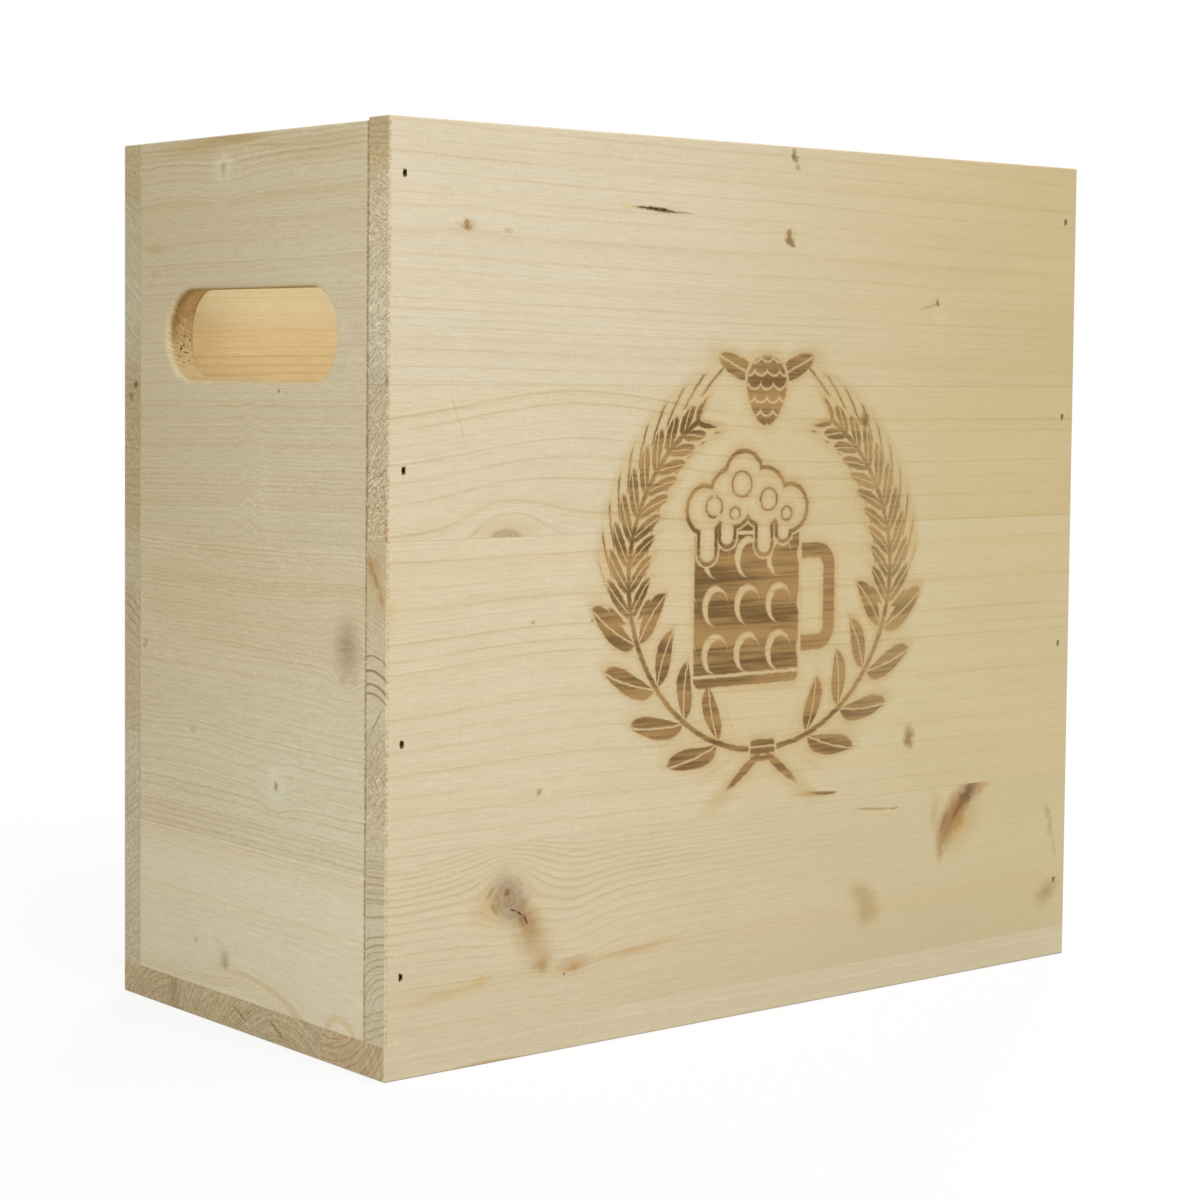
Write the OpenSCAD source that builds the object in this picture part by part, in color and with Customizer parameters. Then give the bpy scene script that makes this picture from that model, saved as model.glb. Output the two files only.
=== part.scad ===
// Wooden beer crate: an open-topped box of glued spruce panels with a hand slot in each end.
// Millimetres, +Z up, +X to the right along the front. The origin is the middle of the base's underside.

/* [Crate] */
// Outside length, along the front
crate_length = 316; // [250:1:400]
// Outside depth, from front to back
crate_depth = 162; // [150:1:240]
// Height of the front panel's top edge above the floor
crate_height = 300; // [280:1:360]
// Thickness of the front, back and end panels
panel_thickness = 11; // [8:0.5:15]
// Thickness of the base panel
base_thickness = 11; // [8:0.5:15]
// How far the back and end panels finish below the front panel's top edge
top_step = 1; // [0:0.1:3]
// Width of the broken corner along every free edge
edge_break = 0.4; // [0.2:0.05:1]
// Width of the broken corner along the upright corner joints
joint_break = 0.15; // [0.1:0.05:0.4]

/* [Front panel boards] */
// Width of the front panel's top board
front_top_width = 82.5; // [60:0.5:100]
// Width of the board below it
front_upper_width = 48.5; // [35:0.5:60]
// Width of the bottom board; the lower board between takes up the rest
front_bottom_width = 59.5; // [40:0.5:75]

/* [Back panel boards] */
// Width of the back panel's top board
back_top_width = 63; // [45:0.5:80]
// Width of the lower board; the upper board above it takes up the rest
back_lower_width = 52; // [40:0.5:65]
// Width of the bottom board
back_bottom_width = 83; // [60:0.5:95]

/* [End panel boards] */
// Width of the left end's top board, which holds the hand slot; the middle board takes up the rest
left_top_width = 134; // [110:0.5:150]
// Width of the left end's bottom board
left_bottom_width = 52; // [35:0.5:65]
// Width of the right end's top board, which holds the hand slot; the middle board takes up the rest
right_top_width = 121; // [110:0.5:150]
// Width of the right end's bottom board
right_bottom_width = 71; // [50:0.5:85]

/* [Base boards] */
// Width of the base's front board
base_front_width = 35; // [20:0.5:50]
// Width of the base's back board
base_back_width = 30; // [20:0.5:50]

/* [Hand slots] */
// Length of a hand slot between its round ends' tips
slot_length = 103; // [85:0.5:108]
// Height of a hand slot
slot_height = 30.5; // [25:0.5:38]
// From the end panel's top edge down to the slot's middle
slot_drop = 66; // [40:0.5:75]
// Radius of the rounding round the slot's rim, inside and out
slot_rounding = 2.5; // [1:0.1:3.5]

/* [Brads] */
// Length of a brad, head included
brad_length = 25; // [20:0.5:28]
// Width of a brad's shank
brad_width = 1.25; // [1:0.05:1.6]
// Thickness of the wire that brads are cut from
brad_gauge = 1; // [0.8:0.05:1.3]
// Width of a brad's T-shaped head
brad_head_width = 2.1; // [1.8:0.05:2.4]
// Height of the head along the brad
brad_head_height = 0.9; // [0.6:0.05:1.2]
// Length of the chisel tip
brad_tip_length = 2; // [1:0.1:3]
// How deep the head is set below the wood
brad_set = 1.2; // [0.8:0.1:2]
// Gap between a brad and its hole
brad_clearance = 0.05; // [0.02:0.01:0.1]
// From a panel's end to the middle of the brads there
brad_inset = 6; // [5:0.1:7]
// Width of the torn mark that the nailer leaves over a brad
mark_width = 1.5; // [1.4:0.05:2]
// Height of that mark
mark_height = 2.8; // [2.5:0.05:3.2]

/* [Hidden] */

$fn = 48;

// Derived sizes
front_face = -crate_depth / 2;
back_face = crate_depth / 2;
left_face = -crate_length / 2;
right_face = crate_length / 2;
end_height = crate_height - top_step;
end_depth = crate_depth - 2 * panel_thickness;
// Heights of the glue seams, and of the panels' lower and upper edges, from the floor up
front_levels = [
    base_thickness,
    base_thickness + front_bottom_width,
    crate_height - front_top_width - front_upper_width,
    crate_height - front_top_width,
    crate_height
];
back_levels = [
    base_thickness,
    base_thickness + back_bottom_width,
    base_thickness + back_bottom_width + back_lower_width,
    end_height - back_top_width,
    end_height
];
left_levels = [
    base_thickness,
    base_thickness + left_bottom_width,
    end_height - left_top_width,
    end_height
];
right_levels = [
    base_thickness,
    base_thickness + right_bottom_width,
    end_height - right_top_width,
    end_height
];
base_front_seam = front_face + base_front_width;
base_back_seam = back_face - base_back_width;
slot_middle = end_height - slot_drop;
slot_run = slot_length - slot_height;
// How far a cut runs past the wood that it cuts
overrun = panel_thickness;

// Colours, as the photograph shows the wood and the sunken brads
sapwood = [0.87, 0.82, 0.70];
pale_wood = [0.90, 0.85, 0.73];
warm_wood = [0.84, 0.77, 0.63];
steel_grey = [0.45, 0.44, 0.42];

// Heights of the brads, one in each end of each board, as shares of the board's width
front_left_shares = [0.363, 0.359, 0.454, 0.789];
front_right_shares = [0.306, 0.503, 0.767, 0.752];
back_left_shares = [0.46, 0.52, 0.37, 0.68];
back_right_shares = [0.39, 0.58, 0.44, 0.73];
// Places of the base's brads, as shares of the crate's length and of its depth
base_row_shares = [0.1, 0.36, 0.63, 0.9];
base_end_shares = [0.3, 0.71];
// Outline of the torn mark, as shares of its width and height
mark_outline_shares = [
    [-0.36, 0.5], [0.3, 0.46], [0.42, 0.12], [0.2, 0.02],
    [0.5, -0.16], [0.46, -0.44], [0.1, -0.5], [-0.5, -0.4], [-0.3, -0.1]
];

// One brad pointing along +Y, its head's top at the origin and the head's width along X
module brad() {
    shank_length = brad_length - brad_tip_length;
    linear_extrude(brad_gauge, center = true)
        polygon([
            [-brad_head_width / 2, 0],
            [brad_head_width / 2, 0],
            [brad_head_width / 2, brad_head_height],
            [brad_width / 2, brad_head_height],
            [brad_width / 2, shank_length],
            [0, brad_length],
            [-brad_width / 2, shank_length],
            [-brad_width / 2, brad_head_height],
            [-brad_head_width / 2, brad_head_height]
        ]);
}

// The hole of one brad: room for its head and shank, and the torn mark out to the surface
module brad_hole() {
    head_room = brad_head_width / 2 + brad_clearance;
    shank_room = brad_width / 2 + brad_clearance;
    head_end = brad_head_height + brad_clearance;
    shank_length = brad_length - brad_tip_length;
    linear_extrude(brad_gauge + 2 * brad_clearance, center = true)
        polygon([
            [-head_room, 0],
            [head_room, 0],
            [head_room, head_end],
            [shank_room, head_end],
            [shank_room, shank_length],
            [0, brad_length + 2 * brad_clearance],
            [-shank_room, shank_length],
            [-shank_room, head_end],
            [-head_room, head_end]
        ]);
    rotate([90, 0, 0])
        linear_extrude(brad_set + overrun)
            polygon([for (p = mark_outline_shares) [p[0] * mark_height, p[1] * mark_width]]);
}

// Puts its children on each board of one end of the front, turned to point into the crate
module front_column(x, levels, shares) {
    for (i = [0 : len(shares) - 1]) {
        z = levels[i] + shares[i] * (levels[i + 1] - levels[i]);
        translate([x, front_face + brad_set, z])
            rotate([0, 90, 0])
                children();
    }
}

module front_left_places() {
    front_column(left_face + brad_inset, front_levels, front_left_shares)
        children();
}

module front_right_places() {
    front_column(right_face - brad_inset, front_levels, front_right_shares)
        children();
}

module back_left_places() {
    mirror([0, 1, 0])
        front_column(left_face + brad_inset, back_levels, back_left_shares)
            children();
}

module back_right_places() {
    mirror([0, 1, 0])
        front_column(right_face - brad_inset, back_levels, back_right_shares)
            children();
}

// Puts its children along the base's underside, below the middle of the panel that they hold
module base_row_places(y) {
    for (share = base_row_shares)
        translate([left_face + share * crate_length, y, brad_set])
            rotate([90, 0, 0])
                children();
}

module base_end_places(x) {
    for (share = base_end_shares)
        translate([x, front_face + share * crate_depth, brad_set])
            rotate([90, 0, 90])
                children();
}

module base_front_places() {
    base_row_places(front_face + panel_thickness / 2)
        children();
}

module base_back_places() {
    base_row_places(back_face - panel_thickness / 2)
        children();
}

module base_left_places() {
    base_end_places(left_face + panel_thickness / 2)
        children();
}

module base_right_places() {
    base_end_places(right_face - panel_thickness / 2)
        children();
}

// A rod with a square section, centred on an edge and turned so that it breaks that edge evenly
module edge_rod(length, width) {
    linear_extrude(length + 2 * overrun, center = true)
        rotate(45)
            square(width * sqrt(2), center = true);
}

module edge_along_x(y, z, width) {
    translate([0, y, z])
        rotate([0, 90, 0])
            edge_rod(crate_length, width);
}

module edge_along_y(x, z, width) {
    translate([x, 0, z])
        rotate([90, 0, 0])
            edge_rod(crate_depth, width);
}

module edge_along_z(x, y, width) {
    translate([x, y, crate_height / 2])
        edge_rod(crate_height, width);
}

// Half of a slot's section, across and through the end: a plain cut less the wood's rounded rim
module rim_section() {
    middle_radius = slot_height / 2;
    rim_radius = middle_radius + slot_rounding;
    // The rounding's centre lies this much nearer the face, so that it meets the face at a clear angle
    lift = slot_rounding / 50;
    difference() {
        translate([0, -overrun])
            square([rim_radius, panel_thickness + 2 * overrun]);
        translate([rim_radius, slot_rounding - lift])
            circle(slot_rounding);
        translate([rim_radius, panel_thickness - slot_rounding + lift])
            circle(slot_rounding);
        translate([middle_radius, slot_rounding - lift])
            square([slot_rounding, panel_thickness - 2 * (slot_rounding - lift)]);
    }
}

// The hand slot through an end panel whose lower face in X is at x: two round ends and the run between
module hand_slot(x) {
    translate([x, 0, slot_middle]) {
        for (side = [-1, 1])
            translate([0, side * slot_run / 2, 0])
                rotate([0, 90, 0])
                    rotate(90 - 90 * side)
                        rotate_extrude(angle = 180)
                            rim_section();
        rotate([0, -90, -90])
            linear_extrude(slot_run, center = true)
                for (side = [0, 1])
                    mirror([side, 0])
                        rim_section();
    }
}

// The whole front panel, before it is divided at its glue seams
module front_panel() {
    inner_face = front_face + panel_thickness;
    difference() {
        translate([left_face, front_face, base_thickness])
            cube([crate_length, panel_thickness, crate_height - base_thickness]);
        for (x = [left_face, right_face]) {
            edge_along_z(x, front_face, edge_break);
            edge_along_z(x, inner_face, joint_break);
            edge_along_y(x, crate_height, edge_break);
        }
        for (y = [front_face, inner_face])
            edge_along_x(y, crate_height, edge_break);
        front_left_places()
            brad_hole();
        front_right_places()
            brad_hole();
        base_front_places()
            brad_hole();
    }
}

// The whole back panel, which stops level with the ends
module back_panel() {
    inner_face = back_face - panel_thickness;
    difference() {
        translate([left_face, inner_face, base_thickness])
            cube([crate_length, panel_thickness, end_height - base_thickness]);
        for (x = [left_face, right_face]) {
            edge_along_z(x, back_face, edge_break);
            edge_along_z(x, inner_face, joint_break);
            edge_along_y(x, end_height, edge_break);
        }
        for (y = [back_face, inner_face])
            edge_along_x(y, end_height, edge_break);
        back_left_places()
            brad_hole();
        back_right_places()
            brad_hole();
        base_back_places()
            brad_hole();
    }
}

// A whole end panel without its brads' holes; its faces in X are at low_x and at low_x + thickness
module end_panel(low_x, outer_x) {
    difference() {
        translate([low_x, -end_depth / 2, base_thickness])
            cube([panel_thickness, end_depth, end_height - base_thickness]);
        for (x = [low_x, low_x + panel_thickness])
            edge_along_y(x, end_height, edge_break);
        for (y = [-end_depth / 2, end_depth / 2])
            edge_along_z(outer_x, y, joint_break);
        hand_slot(low_x);
    }
}

module left_end_panel() {
    difference() {
        end_panel(left_face, left_face);
        front_left_places()
            brad_hole();
        back_left_places()
            brad_hole();
        base_left_places()
            brad_hole();
    }
}

module right_end_panel() {
    difference() {
        end_panel(right_face - panel_thickness, right_face);
        front_right_places()
            brad_hole();
        back_right_places()
            brad_hole();
        base_right_places()
            brad_hole();
    }
}

// The whole base, under all four walls, with its grain along the crate
module base_panel() {
    difference() {
        translate([left_face, front_face, 0])
            cube([crate_length, crate_depth, base_thickness]);
        for (x = [left_face, right_face]) {
            edge_along_y(x, 0, edge_break);
            for (y = [front_face, back_face])
                edge_along_z(x, y, edge_break);
        }
        for (y = [front_face, back_face])
            edge_along_x(y, 0, edge_break);
        base_front_places()
            brad_hole();
        base_back_places()
            brad_hole();
        base_left_places()
            brad_hole();
        base_right_places()
            brad_hole();
    }
}

// Keeps one board of a wall panel, counted from the bottom, between two of the panel's levels
module board(levels, index) {
    intersection() {
        children();
        translate([left_face - overrun, front_face - overrun, levels[index]])
            cube([crate_length + 2 * overrun, crate_depth + 2 * overrun, levels[index + 1] - levels[index]]);
    }
}

// Keeps the board of the base between two places in Y
module base_board_between(low, high) {
    intersection() {
        children();
        translate([left_face - overrun, low, -overrun])
            cube([crate_length + 2 * overrun, high - low, base_thickness + 2 * overrun]);
    }
}

module front_top_board() {
    color(pale_wood)
        board(front_levels, 3)
            front_panel();
}

module front_upper_board() {
    color(sapwood)
        board(front_levels, 2)
            front_panel();
}

module front_lower_board() {
    color(pale_wood)
        board(front_levels, 1)
            front_panel();
}

module front_bottom_board() {
    color(sapwood)
        board(front_levels, 0)
            front_panel();
}

module back_top_board() {
    color(sapwood)
        board(back_levels, 3)
            back_panel();
}

module back_upper_board() {
    color(pale_wood)
        board(back_levels, 2)
            back_panel();
}

module back_lower_board() {
    color(warm_wood)
        board(back_levels, 1)
            back_panel();
}

module back_bottom_board() {
    color(sapwood)
        board(back_levels, 0)
            back_panel();
}

module left_end_top_board() {
    color(sapwood)
        board(left_levels, 2)
            left_end_panel();
}

module left_end_middle_board() {
    color(pale_wood)
        board(left_levels, 1)
            left_end_panel();
}

module left_end_bottom_board() {
    color(warm_wood)
        board(left_levels, 0)
            left_end_panel();
}

module right_end_top_board() {
    color(pale_wood)
        board(right_levels, 2)
            right_end_panel();
}

module right_end_middle_board() {
    color(sapwood)
        board(right_levels, 1)
            right_end_panel();
}

module right_end_bottom_board() {
    color(warm_wood)
        board(right_levels, 0)
            right_end_panel();
}

module base_front_board() {
    color(warm_wood)
        base_board_between(front_face - overrun, base_front_seam)
            base_panel();
}

module base_middle_board() {
    color(sapwood)
        base_board_between(base_front_seam, base_back_seam)
            base_panel();
}

module base_back_board() {
    color(warm_wood)
        base_board_between(base_back_seam, back_face + overrun)
            base_panel();
}

module front_left_brads() {
    color(steel_grey)
        front_left_places()
            brad();
}

module front_right_brads() {
    color(steel_grey)
        front_right_places()
            brad();
}

module back_left_brads() {
    color(steel_grey)
        back_left_places()
            brad();
}

module back_right_brads() {
    color(steel_grey)
        back_right_places()
            brad();
}

module base_front_brads() {
    color(steel_grey)
        base_front_places()
            brad();
}

module base_back_brads() {
    color(steel_grey)
        base_back_places()
            brad();
}

module base_left_brads() {
    color(steel_grey)
        base_left_places()
            brad();
}

module base_right_brads() {
    color(steel_grey)
        base_right_places()
            brad();
}

front_top_board();
front_upper_board();
front_lower_board();
front_bottom_board();
back_top_board();
back_upper_board();
back_lower_board();
back_bottom_board();
left_end_top_board();
left_end_middle_board();
left_end_bottom_board();
right_end_top_board();
right_end_middle_board();
right_end_bottom_board();
base_front_board();
base_middle_board();
base_back_board();
front_left_brads();
front_right_brads();
back_left_brads();
back_right_brads();
base_front_brads();
base_back_brads();
base_left_brads();
base_right_brads();
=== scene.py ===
"""Looks, light and camera for the wooden beer crate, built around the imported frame.

Every board is spruce with a grain of its own: rings that bend round its knots, glued seams,
rough end grain and, on the front, a generic mark burnt into the wood.
"""
import math
import random
from functools import partialmethod

import bpy
from mathutils import Matrix, Vector

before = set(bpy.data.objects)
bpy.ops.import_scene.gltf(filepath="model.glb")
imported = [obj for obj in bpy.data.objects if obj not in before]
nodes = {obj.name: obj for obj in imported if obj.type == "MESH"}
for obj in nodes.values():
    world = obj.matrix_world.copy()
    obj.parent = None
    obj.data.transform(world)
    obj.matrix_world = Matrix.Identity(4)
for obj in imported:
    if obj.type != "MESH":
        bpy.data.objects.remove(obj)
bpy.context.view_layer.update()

MM = 0.001
IN_MM = (1 / MM, 1 / MM, 1 / MM)
HALF_LENGTH, HALF_DEPTH, PANEL, HEIGHT = 158.0, 81.0, 11.0, 300.0
BRAD_INSET = 6.0


def linear(r, g, b):
    """A colour as it shows, 0 to 255, turned into what a shader takes."""
    out = []
    for c in (r / 255, g / 255, b / 255):
        out.append(c / 12.92 if c <= 0.04045 else ((c + 0.055) / 1.055) ** 2.4)
    return tuple(out)


# ---------------------------------------------------------------- node arithmetic


def feed(tree, socket, value):
    """Links a field into a socket, or sets the socket to a plain value."""
    if isinstance(value, Field):
        tree.links.new(value.socket, socket)
    else:
        socket.default_value = value


def new_node(tree, kind, *values, **settings):
    """A new shader node of this kind, with its settings and the values of its first sockets."""
    node = tree.nodes.new("ShaderNode" + kind)
    for key, value in settings.items():
        setattr(node, key, value)
    for socket, value in zip(node.inputs, values):
        feed(tree, socket, value)
    return node


class Field:
    """A number that varies over a surface. Arithmetic on it adds Math nodes to its tree."""

    def __init__(self, tree, socket):
        self.tree = tree
        self.socket = socket

    def op(self, operation, *others):
        node = new_node(self.tree, "Math", self, *others, operation=operation)
        return Field(self.tree, node.outputs[0])

    __add__ = partialmethod(op, "ADD")
    __sub__ = partialmethod(op, "SUBTRACT")
    __rsub__ = partialmethod(op, "MULTIPLY_ADD", -1.0)
    __mul__ = partialmethod(op, "MULTIPLY")
    __truediv__ = partialmethod(op, "DIVIDE")
    __neg__ = partialmethod(op, "MULTIPLY", -1.0)
    __abs__ = partialmethod(op, "ABSOLUTE")
    times_plus = partialmethod(op, "MULTIPLY_ADD")  # times the first number, plus the second
    least = partialmethod(op, "MINIMUM")
    most = partialmethod(op, "MAXIMUM")
    floor = partialmethod(op, "FLOOR")

    def wrap(self, period):
        """Distance from the middle of its cell, for cells of one period."""
        return self.op("WRAP", period / 2, -period / 2)

    def step(self, low, high):
        """0 at low, 1 at high and smooth between; low may be the larger."""
        node = new_node(self.tree, "MapRange", self, low, high, interpolation_type="SMOOTHSTEP")
        return Field(self.tree, node.outputs["Result"])


class Place(Field):
    """A point that varies over a surface, in millimetres."""

    def moved(self, operation, *others):
        node = new_node(self.tree, "VectorMath", self, *others, operation=operation)
        return Place(self.tree, node.outputs["Vector"])

    def measure(self, operation, *others):
        node = new_node(self.tree, "VectorMath", self, *others, operation=operation)
        return Field(self.tree, node.outputs["Value"])

    plus = partialmethod(moved, "ADD")
    scaled = partialmethod(moved, "MULTIPLY")
    length = partialmethod(measure, "LENGTH")
    distance = partialmethod(measure, "DISTANCE")

    def square(self):
        return self.measure("DOT_PRODUCT", self)

    def parts(self):
        return [Field(self.tree, s) for s in new_node(self.tree, "SeparateXYZ", self).outputs]

    def within(self, centre, radii, turn=0.0):
        """The same point seen from a turned ellipsoid whose surface is at length 1."""
        rotation = (0.0, 0.0, math.radians(turn))
        node = new_node(self.tree, "Mapping", self, centre, rotation, radii, vector_type="TEXTURE")
        return Place(self.tree, node.outputs[0])

    def noise(self, scale, detail=1.0, rough=0.5, colour=False):
        """Soft noise between 0 and 1 whose grains have this size along each axis.

        With colour it is three such noises at once, each centred on 0.
        """
        at = self.scaled(tuple(1 / s for s in scale))
        node = new_node(self.tree, "TexNoise", at, 0.0, 1.0, detail, rough)
        if colour:
            return Place(self.tree, node.outputs["Color"]).plus((-0.5, -0.5, -0.5))
        return Field(self.tree, node.outputs[0])


def place(tree, x, y, z):
    return Place(tree, new_node(tree, "CombineXYZ", x, y, z).outputs[0])


def blend(tree, share, first, second, kind="MIX"):
    """A colour between two, or the first multiplied by the second."""
    node = new_node(tree, "Mix", data_type="RGBA", blend_type=kind, clamp_factor=True)
    for index, value in ((0, share), (6, first), (7, second)):
        if isinstance(value, tuple):
            value = value + (1.0,)
        feed(tree, node.inputs[index], value)
    return Place(tree, node.outputs[2])


def tinted(colour, share, tint):
    """The colour, and where the share is 1 the colour times a tint."""
    return blend(colour.tree, share, colour, tint, "MULTIPLY")


def shaded(colour, level, green, blue):
    """The colour times a level near 1, whose swing is larger in green and in blue."""
    swing = level - 1.0
    levels = place(colour.tree, level, swing.times_plus(green, 1.0), swing.times_plus(blue, 1.0))
    return colour.scaled(levels)


def colour_ramp(at, stops):
    """A ramp node read at a field, through stops of a place and a colour with its alpha."""
    ramp = new_node(at.tree, "ValToRGB", at)
    elements = ramp.color_ramp.elements
    while len(elements) < len(stops):
        elements.new(0.5)
    for element, (where, colour) in zip(elements, stops):
        element.position = where
        element.color = colour
    return ramp


def stripe_noise(value, size, seed, detail=2.0):
    """Noise that depends on one number only, with grains of this size."""
    node = new_node(value.tree, "TexNoise", noise_dimensions="1D")
    node.inputs["Scale"].default_value = 1.0
    node.inputs["Detail"].default_value = detail
    feed(value.tree, node.inputs["W"], value.times_plus(1 / size, seed * 17.3))
    return Field(value.tree, node.outputs[0])


# ---------------------------------------------------------------- wood

WINDOWS = 3  # the rings' profile is held in this many curves, side by side
CURVE_POINTS = 180
CORE, CORE_SHARE = 0.75, 0.55  # width of a ring's darkest line, and its part of the darkness
RING_FADES = (2.4, 0.35)  # the soft and the sharp side of a ring that names none


def ring_profile(grain, low, high, rings):
    """Darkness of the late wood at each place across the grain, from a list of rings.

    A ring is (place, strength, soft side, sharp side): dark at its place, fading over its
    soft side below and its sharp side above.
    """
    tree = grain.tree
    span = (high - low) / WINDOWS
    node = new_node(tree, "MapRange", data_type="FLOAT_VECTOR", clamp=True)
    starts = [low + i * span for i in range(WINDOWS)]
    feed(tree, node.inputs[6], grain)
    node.inputs[7].default_value = starts
    node.inputs[8].default_value = [s + span for s in starts]
    curves = new_node(tree, "RGBCurve")
    tree.links.new(node.outputs["Vector"], curves.inputs["Color"])
    mapping = curves.mapping
    for index, start in enumerate(starts):
        curve = mapping.curves[index]
        near = [r for r in rings if start - r[3] - 1 < r[0] < start + span + r[2] + 1]
        for k in range(CURVE_POINTS + 1):
            share = k / CURVE_POINTS
            at = start + share * span
            dark = 0.0
            for ring, strength, soft, sharp in near:
                away = ring - at
                if 0 <= away < soft:
                    core = max(0.0, 1 - away / CORE)
                    side = (1 - away / soft) ** 2.2
                    dark = max(dark, strength * ((1 - CORE_SHARE) * side + CORE_SHARE * core))
                elif -sharp < away < 0:
                    dark = max(dark, strength * (1 + away / sharp))
            dark *= min(1.0, share * 90, (1 - share) * 90)
            if k == 0:
                point = curve.points[0]
            elif k == CURVE_POINTS:
                point = curve.points[len(curve.points) - 1]
            else:
                point = curve.points.new(share, dark)
            point.location = (share, dark)
            point.handle_type = "VECTOR"
    mapping.update()
    total = new_node(tree, "VectorMath", operation="DOT_PRODUCT")
    tree.links.new(curves.outputs["Color"], total.inputs[0])
    total.inputs[1].default_value = (1.0, 1.0, 1.0)
    return Field(tree, total.outputs["Value"])


def ring_list(seed, low, high, spacing, strength, chosen=()):
    """Rings at uneven distances, with the chosen ones in their own places."""
    draw = random.Random(seed)
    rings = [c if len(c) == 4 else c + RING_FADES for c in chosen]
    at = low
    while at < high:
        wide = spacing(at) if callable(spacing) else spacing
        at += wide * draw.uniform(0.62, 1.45)
        if any(abs(at - c[0]) < 0.55 * wide for c in chosen):
            continue
        rings.append((at, strength * draw.uniform(0.35, 1.0), wide * 0.5, 0.3))
    return rings


def lines(soft, sharp, *pairs):
    """Chosen rings that share their two sides, as pairs of a place and a strength."""
    return [pair + (soft, sharp) for pair in pairs]


MATERIALS = {}


def new_material(name):
    """An empty material with its output and its Principled shader."""
    material = bpy.data.materials.new(name)
    material.use_nodes = True
    tree = material.node_tree
    tree.nodes.clear()
    out = new_node(tree, "OutputMaterial")
    shader = new_node(tree, "BsdfPrincipled")
    tree.links.new(shader.outputs[0], out.inputs[0])
    return material, tree, shader


ENDS = ("left", "right")
AXES = {
    # which way the grain runs, which way is across the board, and the way in from the outer face
    "front": lambda x, y, z: (x, z, y + HALF_DEPTH),
    "back": lambda x, y, z: (x, z, HALF_DEPTH - y),
    "left": lambda x, y, z: (y, z, x + HALF_LENGTH),
    "right": lambda x, y, z: (y, z, HALF_LENGTH - x),
    "base": lambda x, y, z: (x, y, z),
}

# What the plain colour is multiplied by
LATE_WOOD = (0.80, 0.69, 0.50)
BAND, BAND_SHARE = (0.94, 0.87, 0.74), 0.5
# Faces looking into the crate: partly a warmer wood, partly painted light that brightens the inside
INSIDE_TINT_AND_PAINTED_LIGHT = (1.15, 1.10, 1.00)
END_PALE, END_BROWN, END_RING = (1.01, 1.04, 1.06), (0.93, 0.82, 0.66), (0.64, 0.53, 0.40)
PORE, FIBRE_END = (0.50, 0.39, 0.27), (1.16, 1.19, 1.25)
SEAM, JOINT, ARRIS = (0.62, 0.5, 0.36), (0.50, 0.38, 0.24), (0.74, 0.60, 0.42)
BRAD_MARK = (1.0, 1.75)  # radii of the stain round a brad
BRAD_STAINS = {-1: (0.36, 0.25, 0.15), 1: (0.88, 0.82, 0.72)}  # near the left end and the right
BRAD_HOLE = (0.18, 0.12, 0.06)
DARK, FAINT, LIGHT = (0.3, 0.22, 0.15), (0.84, 0.76, 0.62), (1.07, 1.08, 1.10)
INNER = (0, 3, False, 11)  # the last values of a spot on a panel's inner face alone

SPECULAR = 0.3
BUMP_STRENGTH, BUMP_DEPTH = 0.4, 0.12 * MM


def spot(colour, at, l, v, a, b, tint, edge=0.3, turn=0.0, deep=60.0, torn=False, u=0.0, tears=None):
    """Multiplies the colour by a tint inside a soft turned ellipse, and if torn only in the tears."""
    inside = at.within((l, v, u), (a, b, deep), turn).length().step(1.0, edge)
    if torn:
        inside = inside * tears
    return tinted(colour, inside, tint)


KNOT_RAMPS = {
    # share of the knot's reach, then colour as it shows, then how much it covers
    "grey": (
        (0.00, (142, 112, 78), 0.9), (0.07, (168, 142, 106), 0.8), (0.16, (152, 128, 102), 0.8),
        (0.26, (170, 146, 116), 0.7), (0.36, (156, 132, 104), 0.7), (0.44, (170, 147, 114), 0.6),
        (0.54, (178, 157, 124), 0.5), (0.68, (196, 176, 138), 0.3), (0.84, (206, 186, 148), 0.12),
        (1.00, (208, 188, 150), 0.0),
    ),
    "brown": (
        (0.00, (132, 100, 62), 0.95), (0.14, (150, 118, 80), 0.9), (0.22, (120, 88, 54), 0.85),
        (0.36, (152, 120, 80), 0.8), (0.44, (176, 146, 100), 0.6), (0.58, (196, 170, 124), 0.35),
        (0.78, (206, 184, 140), 0.15), (1.00, (206, 184, 140), 0.0),
    ),
    "half": (
        (0.00, (176, 146, 104), 0.8), (0.08, (188, 160, 116), 0.7), (0.14, (164, 136, 96), 0.75),
        (0.20, (182, 156, 112), 0.65), (0.26, (162, 134, 94), 0.7), (0.34, (180, 152, 108), 0.6),
        (0.42, (203, 177, 128), 0.45), (0.80, (208, 186, 140), 0.30), (1.00, (206, 188, 148), 0.0),
    ),
    "pale": (
        (0.00, (172, 158, 124), 0.8), (0.12, (190, 178, 144), 0.7), (0.22, (212, 203, 174), 0.6),
        (0.45, (218, 210, 182), 0.45), (0.70, (214, 205, 176), 0.2), (1.00, (210, 200, 168), 0.0),
    ),
}


def knot(colour, at, l, v, a, b, kind, turn=0.0):
    """A knot's face: its rings and rim, and the stained wood round it, out to radii a and b."""
    tree = colour.tree
    reach = at.within((l, v, 0.0), (a, b, 400.0), turn).length()
    stops = [(where, linear(*shows) + (alpha,)) for where, shows, alpha in KNOT_RAMPS[kind]]
    ramp = colour_ramp(reach, stops)
    return blend(tree, Field(tree, ramp.outputs["Alpha"]), colour, Place(tree, ramp.outputs["Color"]))


def arc(colour, at, l, v, a, b, wide, tint, above=None, until=None):
    """A thin curved line: the rim of an ellipse, above a height and fading along if given."""
    x, y, _ = at.parts()
    thin = wide / min(a, b)
    line = abs(at.within((l, v, 0.0), (a, b, 1e4)).length() - 1.0).step(thin, 0.1 * thin)
    if above is not None:
        line = line * y.step(above, above + 0.4)
    if until:
        line = line * x.step(*until)
    return tinted(colour, line, tint)


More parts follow.
